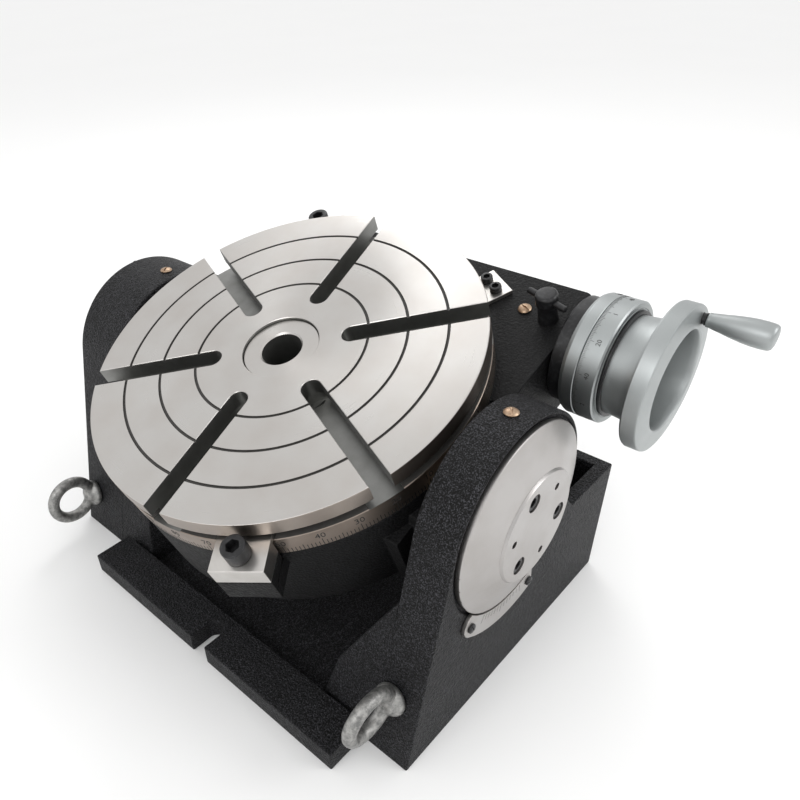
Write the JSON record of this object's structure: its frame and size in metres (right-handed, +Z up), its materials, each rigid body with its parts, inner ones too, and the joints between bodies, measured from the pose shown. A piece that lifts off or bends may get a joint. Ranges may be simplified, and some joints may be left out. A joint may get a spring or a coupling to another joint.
{
  "type": "tilting rotary table",
  "caption": "Round slotted work table on a cradle that tilts between two cheeks, turned by a worm and handwheel, for indexing work on a milling machine.",
  "frame": {"origin": "on the ground under the tilt axis, at the table's centre plane", "axes": "+X along the tilt axis towards the tilt dial and the handwheel, +Y to the rear, +Z up"},
  "size_m": [0.5326, 0.3786, 0.3044],
  "materials": {
    "black_paint": "black crinkle paint on cast iron",
    "ground_steel": "fine ground and turned",
    "machined_steel": "milled and turned",
    "satin_aluminium": "satin",
    "zinc_steel": "dull zinc",
    "black_oxide": "black oxide",
    "brass": "dull",
    "bronze": "machined"
  },
  "bodies": {
    "base": {"base_casting": "black_paint", "eyebolt_right": "zinc_steel", "eyebolt_left": "zinc_steel", "oiler_cheek_right": "brass", "oiler_cheek_left": "brass", "tilt_vernier_plate": "satin_aluminium", "vernier_plate_screw_1": "black_oxide", "vernier_plate_screw_2": "black_oxide", "trunnion_bush_right": "bronze", "trunnion_bush_left": "bronze", "tilt_gear_cover": "black_paint", "gear_cover_screw_1": "black_oxide", "gear_cover_screw_2": "black_oxide", "gear_cover_screw_3": "black_oxide"},
    "cradle": {"cradle_casting": "black_paint", "cradle_underside_lid": "black_paint", "lid_screw_1": "black_oxide", "lid_screw_2": "black_oxide", "lid_screw_3": "black_oxide", "lid_screw_4": "black_oxide", "trunnion_shaft_right": "machined_steel", "trunnion_shaft_left": "machined_steel", "tilt_worm_wheel": "bronze", "tilt_dial": "satin_aluminium", "tilt_dial_screw_1": "black_oxide", "tilt_dial_screw_2": "black_oxide", "tilt_dial_screw_3": "black_oxide", "index_plate": "machined_steel", "index_plate_screw_1": "black_oxide", "index_plate_screw_2": "black_oxide", "oiler_cradle": "brass", "clamp_block_front": "machined_steel", "clamp_block_rear": "machined_steel", "spindle_bush": "bronze", "worm_eccentric_sleeve": "black_oxide", "worm_vernier_ring": "satin_aluminium"},
    "table": {"table": "ground_steel", "centre_sleeve": "ground_steel", "worm_wheel": "bronze", "spindle_nut": "machined_steel"},
    "worm": {"worm_shaft": "machined_steel", "handwheel": "satin_aluminium", "handwheel_nut": "zinc_steel", "dial_lock_ring": "black_oxide", "handle_pin": "machined_steel"},
    "micrometer": {"micrometer_dial": "satin_aluminium"},
    "crank": {"crank_handle": "satin_aluminium"},
    "worm_lock": {"worm_lock_screw": "black_oxide", "worm_lock_bar": "black_oxide"},
    "front_clamp": {"clamp_screw_front": "black_oxide"},
    "rear_clamp": {"clamp_screw_rear": "black_oxide"},
    "tilt_worm": {"tilt_worm_shaft": "machined_steel"}
  },
  "joints": [
    {"name": "cradle_tilt", "type": "hinge", "parent": "base", "child": "cradle", "pos_m": [0, 0, 0.171], "axis": [1, 0, 0], "range_deg": [-20.3, 69.7]},
    {"name": "table_spin", "type": "hinge", "parent": "cradle", "child": "table", "pos_m": [0, 0, 0.171], "axis": [0, -0.3469, 0.9379], "continuous": true},
    {"name": "handwheel_spin", "type": "hinge", "parent": "cradle", "child": "worm", "pos_m": [0, 0.13284, 0.2356], "axis": [1, 0, 0], "continuous": true},
    {"name": "micrometer_spin", "type": "hinge", "parent": "worm", "child": "micrometer", "pos_m": [0.205, 0.13284, 0.2356], "axis": [1, 0, 0], "continuous": true},
    {"name": "crank_handle_spin", "type": "hinge", "parent": "worm", "child": "crank", "pos_m": [0.265, 0.1585, 0.27557], "axis": [1, 0, 0], "continuous": true},
    {"name": "worm_lock_turn", "type": "hinge", "parent": "cradle", "child": "worm_lock", "pos_m": [0.144, 0.11771, 0.26785], "axis": [0, -0.3469, 0.9379], "range_deg": [0, 90]},
    {"name": "front_clamp_turn", "type": "hinge", "parent": "cradle", "child": "front_clamp", "pos_m": [0.09088, -0.16069, 0.18619], "axis": [0, -0.3469, 0.9379], "range_deg": [0, 180]},
    {"name": "rear_clamp_turn", "type": "hinge", "parent": "cradle", "child": "rear_clamp", "pos_m": [-0.09088, 0.11212, 0.28711], "axis": [0, -0.3469, 0.9379], "range_deg": [0, 180]},
    {"name": "tilt_worm_spin", "type": "hinge", "parent": "base", "child": "tilt_worm", "pos_m": [-0.21, 0.1, 0.0979], "axis": [0, 1, 0], "range_deg": [-1218, 4182]}
  ],
  "couplings": [
    {"joint": "handwheel_spin", "follows": "table_spin", "ratio": 90},
    {"joint": "tilt_worm_spin", "follows": "cradle_tilt", "ratio": 60}
  ]
}
